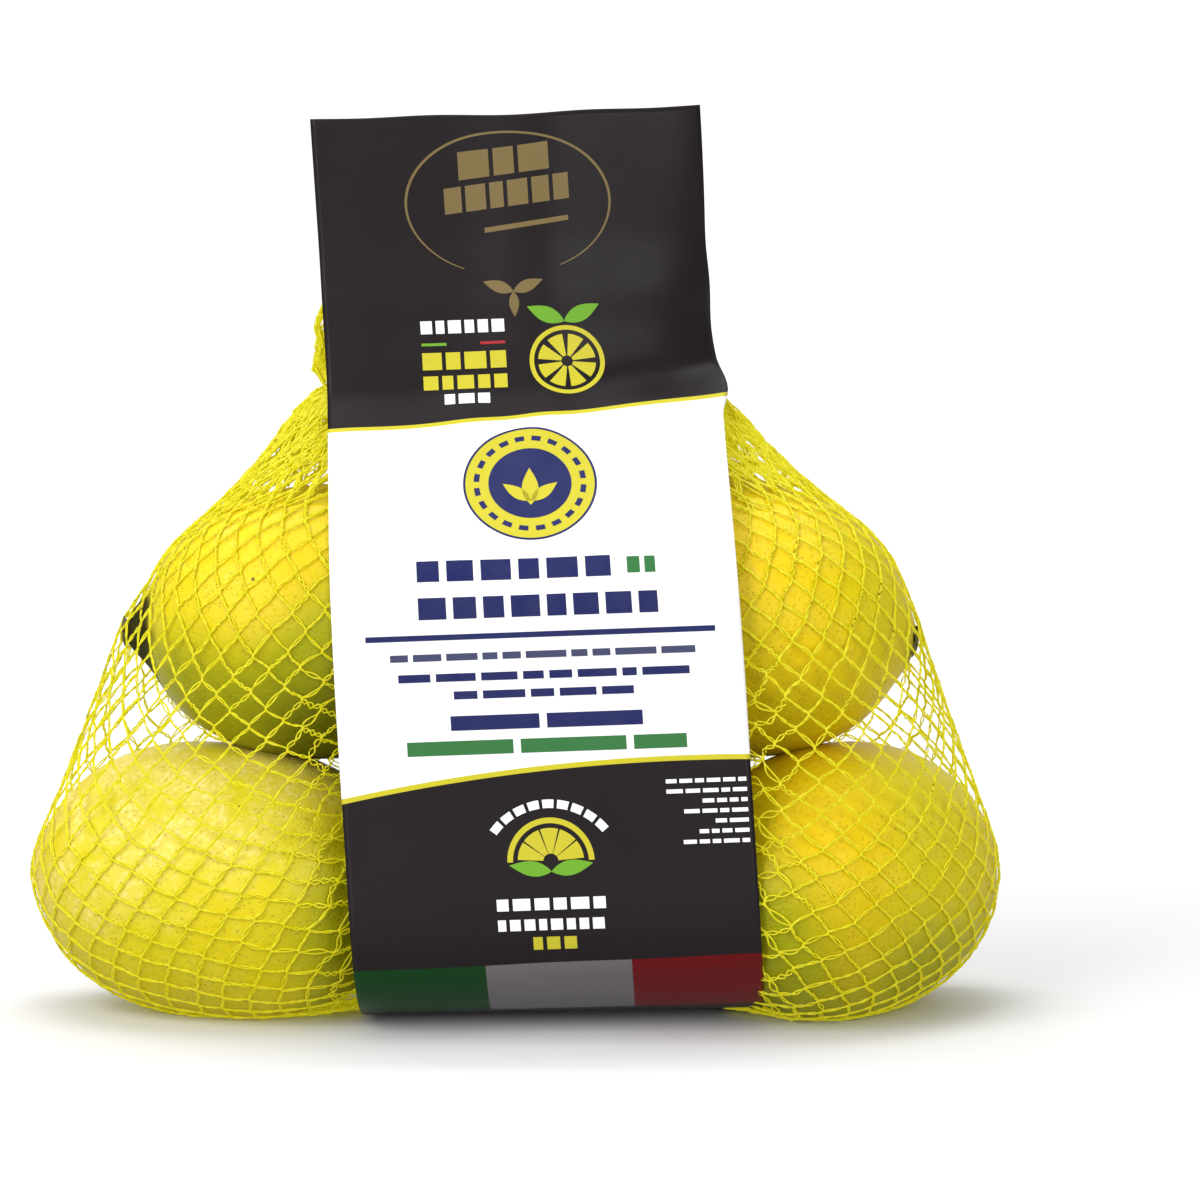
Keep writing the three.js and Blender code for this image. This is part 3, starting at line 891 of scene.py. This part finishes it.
# ---- small print: plain bars, rings and leaves laid on the film ----
class Print:
    """one colour's shapes; their places (u, s) are seen from the front, or on the back from
    behind, with s measured down from the header's top edge"""

    def __init__(self, name, colour, off=0.13, back=False):
        self.name, self.colour, self.off, self.back = name, colour, off, back
        self.points, self.faces, self.count = [], [], 0

    def ribbon(self, edge_a, edge_b, steps=3):
        """fills between two lines of (u, s) places with the same number of points"""
        a, b = np.asarray(edge_a, float), np.asarray(edge_b, float)
        mix = np.linspace(0, 1, steps + 1)[None, :, None]
        grid = a[:, None] * (1 - mix) + b[:, None] * mix
        self.points.append(grid.reshape(-1, 2))
        self.faces.append(grid_faces(len(a), steps + 1, start=self.count))
        self.count += grid.shape[0] * grid.shape[1]

    def bar(self, u0, u1, s0, s1, slope=0.0):
        """an upright rectangle with straight sides; slope lets it follow a rising line"""
        n = max(2, int(abs(u1 - u0) / PRINT_FACE) + 1)
        u = np.linspace(u0, u1, n)
        drop = (u - u0) * slope
        self.ribbon(np.stack([u, s0 + drop], 1), np.stack([u, s1 + drop], 1),
                    max(1, int(abs(s1 - s0) / PRINT_FACE)))

    def words(self, u0, u1, s, height, seed, gap=None, shortest=3.0, longest=9.0):
        """a line of plain word-long bars from u0 to u1"""
        pick = np.random.default_rng(seed)
        gap = gap or height * 0.7
        while u0 < u1 - height:
            end = min(u1, u0 + pick.uniform(shortest, longest))
            if u1 - end < shortest:
                end = u1
            self.bar(u0, end, s - height / 2, s + height / 2)
            u0 = end + gap

    def blocks(self, u0, u1, s, height, count, gap, slope=0.0):
        """a row of plain upright blocks of slightly different widths"""
        share = 1 + 0.22 * np.sin(np.arange(count) * 2.4 + u1)
        widths = share / share.sum() * (u1 - u0 - gap * (count - 1))
        for k, width in enumerate(widths):
            start = u0 + widths[:k].sum() + gap * k
            middle = s + (start - u0) * slope
            self.bar(start, start + width, middle - height / 2, middle + height / 2, slope)

    def oval(self, u, s, wide, high, thick, start, end):
        """an open oval line, thinner towards its two ends"""
        a = np.radians(np.linspace(start, end, 90))
        spin = np.stack([np.cos(a) * wide, -np.sin(a) * high], 1)
        body = thick / wide / 2 * (0.35 + 0.65 * np.sin(np.linspace(0, np.pi, 90)))[:, None]
        self.ribbon(np.array([u, s]) + spin * (1 - body), np.array([u, s]) + spin * (1 + body), 1)

    def ring(self, u, s, inner, outer, start=0, end=360):
        n = max(8, int(abs(end - start) * outer / 60) + 8)
        a = np.radians(np.linspace(start, end, n))
        spin = np.stack([np.cos(a), -np.sin(a)], 1)
        middle = np.array([u, s])
        self.ribbon(middle + spin * inner, middle + spin * outer,
                    max(1, int((outer - inner) / PRINT_FACE)))

    def leaf(self, u, s, length, width, angle):
        """a pointed leaf from (u, s) along angle degrees"""
        t = np.linspace(0, 1, 25)
        belly = np.sin(np.pi * t ** 0.85) * width / 2
        a = math.radians(angle)
        along, side = np.array([math.cos(a), -math.sin(a)]), np.array([math.sin(a), math.cos(a)])
        spine = np.array([u, s]) + t[:, None] * length * along
        self.ribbon(spine, spine + belly[:, None] * side)
        self.ribbon(spine - belly[:, None] * side, spine)

    def make(self):
        flat = np.concatenate(self.points)
        if self.back:
            flat = np.array([0, FILM_LENGTH]) - flat
        points = film_point(flat[:, 0], flat[:, 1], self.off)
        n = Nodes("print_" + self.name)
        tone = n.mix(n.times(n.noise(4, 3), WEAR), self.colour, GREY)
        n.set(Base_Color=tone, Roughness=0.36, Specular_IOR_Level=0.12)
        make_object("print_" + self.name, points, np.concatenate(self.faces), n.material)


# places are (u, s), and the oval is its half width, half height, line and ends in degrees
OVAL = (22.5, 15.8, 0.75, -62, 242)
SPRAY, SLICE, SLICE_LEAVES, ROUNDEL = (-1.0, 39.0), (9.5, 54.6), (9.5, 45.8), (0.3, 85.9)
MARK, MARK_ARC, MARK_LEAVES = (0.0, 169.0), (0.0, 172.0), (0.0, 171.2)
ON_WHITE, ON_DISC = 0.17, 0.21  # how far outside the film's middle the upper layers lie


def make_header_print(yellow, leaf, white):
    gold = Print("gold", GOLD)
    # rows of plain blocks inside an open oval, with a small spray of leaves below
    gold.oval(-1.0, 19.6, *OVAL)
    gold.blocks(-11.5, 8.5, 11.4, 6.2, 3, 1.0, slope=-0.10)
    gold.blocks(-15.0, 12.5, 19.0, 5.6, 6, 0.9, slope=-0.10)
    gold.bar(-6.5, 12.0, 24.9, 26.0, slope=-0.12)
    for length, width, angle in ((7.0, 2.6, 20), (7.0, 2.6, 160), (5.5, 2.2, 270)):
        gold.leaf(*SPRAY, length, width, angle)
    gold.make()
    # below on the right, a round fruit slice under two leaves
    for k in range(8):
        yellow.ring(*SLICE, 1.2, 6.0, k * 45 + 6, k * 45 + 39)
    yellow.ring(*SLICE, 6.9, 7.9)
    for angle in (24, 156):
        leaf.leaf(*SLICE_LEAVES, 8.5, 3.4, angle)
    # on the left, rows of plain blocks with a green and a red dash
    left, right = -22, -3.5
    leaf.bar(left, -16.5, 49.6, 50.2)
    red = Print("red", RED)
    red.bar(-9.0, right, 49.6, 50.2)
    red.make()
    white.blocks(left, right, 46.2, 2.8, 6, 0.8)
    yellow.blocks(left, right, 53.6, 3.8, 4, 0.9)
    yellow.blocks(left, right, 58.6, 3.4, 5, 0.9)
    white.blocks(-17.5, -7.5, 63.0, 2.8, 3, 0.8)


def make_white_print():
    # roundel: yellow disc, dark rim line, blue middle with a plain sprig
    disc = Print("roundel_yellow", YELLOW)
    disc.ring(*ROUNDEL, 0.0, 14.0)
    disc.make()
    navy = Print("navy", NAVY, off=ON_WHITE)
    navy.ring(*ROUNDEL, 14.0, 14.5)
    navy.ring(*ROUNDEL, 0.0, 9.0)
    for k in range(20):
        navy.ring(*ROUNDEL, 11.0, 12.2, k * 18 + 4, k * 18 + 14)
    sprig = Print("roundel_sprig", YELLOW, off=ON_DISC)
    for s, length, width, angle in ((91.5, 9.5, 3.6, 90), (90.5, 7.5, 2.8, 38),
                                    (90.5, 7.5, 2.8, 142)):
        sprig.leaf(ROUNDEL[0], s, length, width, angle)
    sprig.make()
    # lines of plain blocks and bars
    navy.blocks(-24.8, 16.5, 107.0, 4.6, 6, 1.6)
    navy.blocks(-24.8, 26.0, 115.0, 4.6, 8, 1.5)
    navy.bar(-36.3, 37.7, 120.5, 121.7)
    navy.words(-29.8, 31.7, 129.6, 1.7, 7)
    navy.words(-18.3, 19.7, 133.4, 1.7, 8)
    navy.words(-19.3, 21.2, 139.3, 3.1, 9, gap=1.6, shortest=10, longest=20)
    navy.make()
    slate = Print("slate", SLATE, off=ON_WHITE)
    slate.words(-31.3, 33.2, 125.3, 1.5, 11)
    slate.make()
    green = Print("green", GREEN, off=ON_WHITE)
    green.blocks(20.0, 26.0, 107.0, 3.6, 2, 1.0)
    green.words(-28.8, 30.2, 144.5, 3.0, 13, gap=1.6, shortest=12, longest=24)
    green.make()


def make_foot_print(yellow, leaf, white):
    # small lines at the right, one below the other
    right = 42.2
    for k, width in enumerate((17, 17, 9.5, 13.5, 7, 10.5, 14.0)):
        white.words(right - width, right, 153.1 + k * 2.15, 0.85, 20 + k, shortest=1.6, longest=4)
    # a plain mark in the middle: half a slice on two leaves, under an arc of small blocks
    for k in range(9):
        white.ring(*MARK_ARC, 14.2, 16.0, 38 + k * 11.8, 38 + k * 11.8 + 9)
    for k in range(5):
        yellow.ring(*MARK, 1.6, 7.0, 4 + k * 35, 36 + k * 35)
    yellow.ring(*MARK, 8.0, 9.2, 0, 180)
    for angle in (10, 170):
        leaf.leaf(*MARK_LEAVES, 9.0, 3.2, angle)
    white.blocks(-12.0, 11.0, 178.0, 2.5, 6, 0.9)
    white.blocks(-12.0, 10.5, 182.4, 2.5, 8, 0.8)
    yellow.blocks(-4.8, 4.4, 187.0, 3.4, 3, 0.9)


def make_back_print():
    """the back: the same oval on the header, and plain lines with a striped panel below"""
    gold = Print("back_gold", GOLD, back=True)
    gold.oval(0.0, 26.0, *OVAL)
    gold.blocks(-12.0, 12.0, 22.5, 6.0, 4, 1.0)
    gold.blocks(-14.0, 14.0, 30.5, 5.2, 6, 0.9)
    gold.make()
    navy = Print("back_navy", NAVY, back=True)
    left, right = -33, 33
    navy.blocks(left, 6, 80.0, 4.4, 7, 1.5)
    for k, end in enumerate((33, 30, 33, 24, 33, 31, 33, 12)):
        navy.words(left, end, 87.5 + k * 3.6, 1.5, 40 + k)
    navy.bar(left, right, 119.5, 120.1)
    edges = left + np.cumsum(np.random.default_rng(5).uniform(0.35, 1.1, 56))
    for start, end in zip(edges[0:-1:2], edges[1::2]):
        navy.bar(start, end, 124.0, 138.0)
    navy.blocks(-32, 5, 141.0, 2.0, 11, 1.2)
    navy.make()
    white = Print("back_white", WHITE, back=True)
    for k, end in enumerate((28, 26, 28, 22, 10)):
        white.words(-28, end, 166.0 + k * 3.4, 1.2, 60 + k)
    white.make()


shared = Print("yellow", YELLOW), Print("leaf_green", LEAF), Print("white", WHITE)
make_header_print(*shared)
make_white_print()
make_foot_print(*shared)
for item in shared:
    item.make()
make_back_print()


# ---- stage, light, camera: metres and watts ----
FLOOR, FLOOR_PALE = srgb(220, 220, 222), srgb(222, 222, 224)
FLOOR_FRONT, FLOOR_BACK, FLOOR_SIDE = -3.0, 1.5, 4.0
WALL_BEND, WALL_TOP = 1.3, 3.5  # the floor bends up into a wall
WORLD_POWER = 0.46


def make_stage():
    n = Nodes("pale_floor")
    n.set(Base_Color=n.mix(n.noise(60, 2), FLOOR, FLOOR_PALE), Roughness=0.9,
          Specular_IOR_Level=0.1)
    line = [(FLOOR_FRONT, 0.0)]
    for angle in range(0, 91, 3):
        a = math.radians(angle)
        line.append((FLOOR_BACK + WALL_BEND * math.sin(a), WALL_BEND - WALL_BEND * math.cos(a)))
    line.append((FLOOR_BACK + WALL_BEND, WALL_TOP))
    verts = [(x, y, z) for y, z in line for x in (-FLOOR_SIDE, FLOOR_SIDE)]
    quads = [(2 * k, 2 * k + 1, 2 * k + 3, 2 * k + 2) for k in range(len(line) - 1)]
    mesh = bpy.data.meshes.new("floor")
    mesh.from_pydata(verts, [], quads)
    mesh.polygons.foreach_set("use_smooth", [True] * len(quads))
    mesh.materials.append(n.material)
    floor = add_object("floor", mesh)
    floor.visible_diffuse = False


def aim(obj, place, direction):
    obj.location = place
    obj.rotation_euler = direction.to_track_quat("-Z", "Y").to_euler()


def add_light(name, place, size, power, target=(0.0, 0.0, 0.08)):
    light = bpy.data.lights.new(name, "AREA")
    light.shape = "RECTANGLE"
    light.size, light.size_y = size
    light.energy = power
    aim(add_object(name, light), place, Vector(target) - Vector(place))


make_stage()
add_light("key_left", place=(-0.95, -0.9, 1.0), size=(1.1, 1.1), power=15)
add_light("fill_front", place=(0.6, -1.25, 0.5), size=(0.7, 0.8), power=7)
add_light("low_left", place=(-0.6, -1.15, 0.3), size=(0.4, 0.4), power=4)
add_light("top", place=(-0.1, 0.05, 1.3), size=(0.8, 0.8), power=6)
add_light("backdrop", place=(0.0, 0.7, 1.9), size=(3.0, 0.8), power=60, target=(0.0, 2.6, 0.5))
scene = bpy.context.scene
scene.world = bpy.data.worlds.new("studio")
scene.world.use_nodes = True
sky = scene.world.node_tree.nodes["Background"].inputs
sky["Color"].default_value, sky["Strength"].default_value = (1, 1, 1, 1), WORLD_POWER
scene.view_settings.view_transform = "Standard"

# the camera looks level with the lemons, a little from above
DISTANCE, ELEVATION = 1.1, math.radians(6)
AIM = Vector((0.0187, -0.020, 0.0917))
LENS, SENSOR = 153.9, 36  # millimetres
camera = bpy.data.cameras.new("camera")
camera.lens, camera.sensor_width = LENS, SENSOR
scene.camera = add_object("camera", camera)
away = Vector((0, -math.cos(ELEVATION), math.sin(ELEVATION)))
aim(scene.camera, AIM + away * DISTANCE, -away)
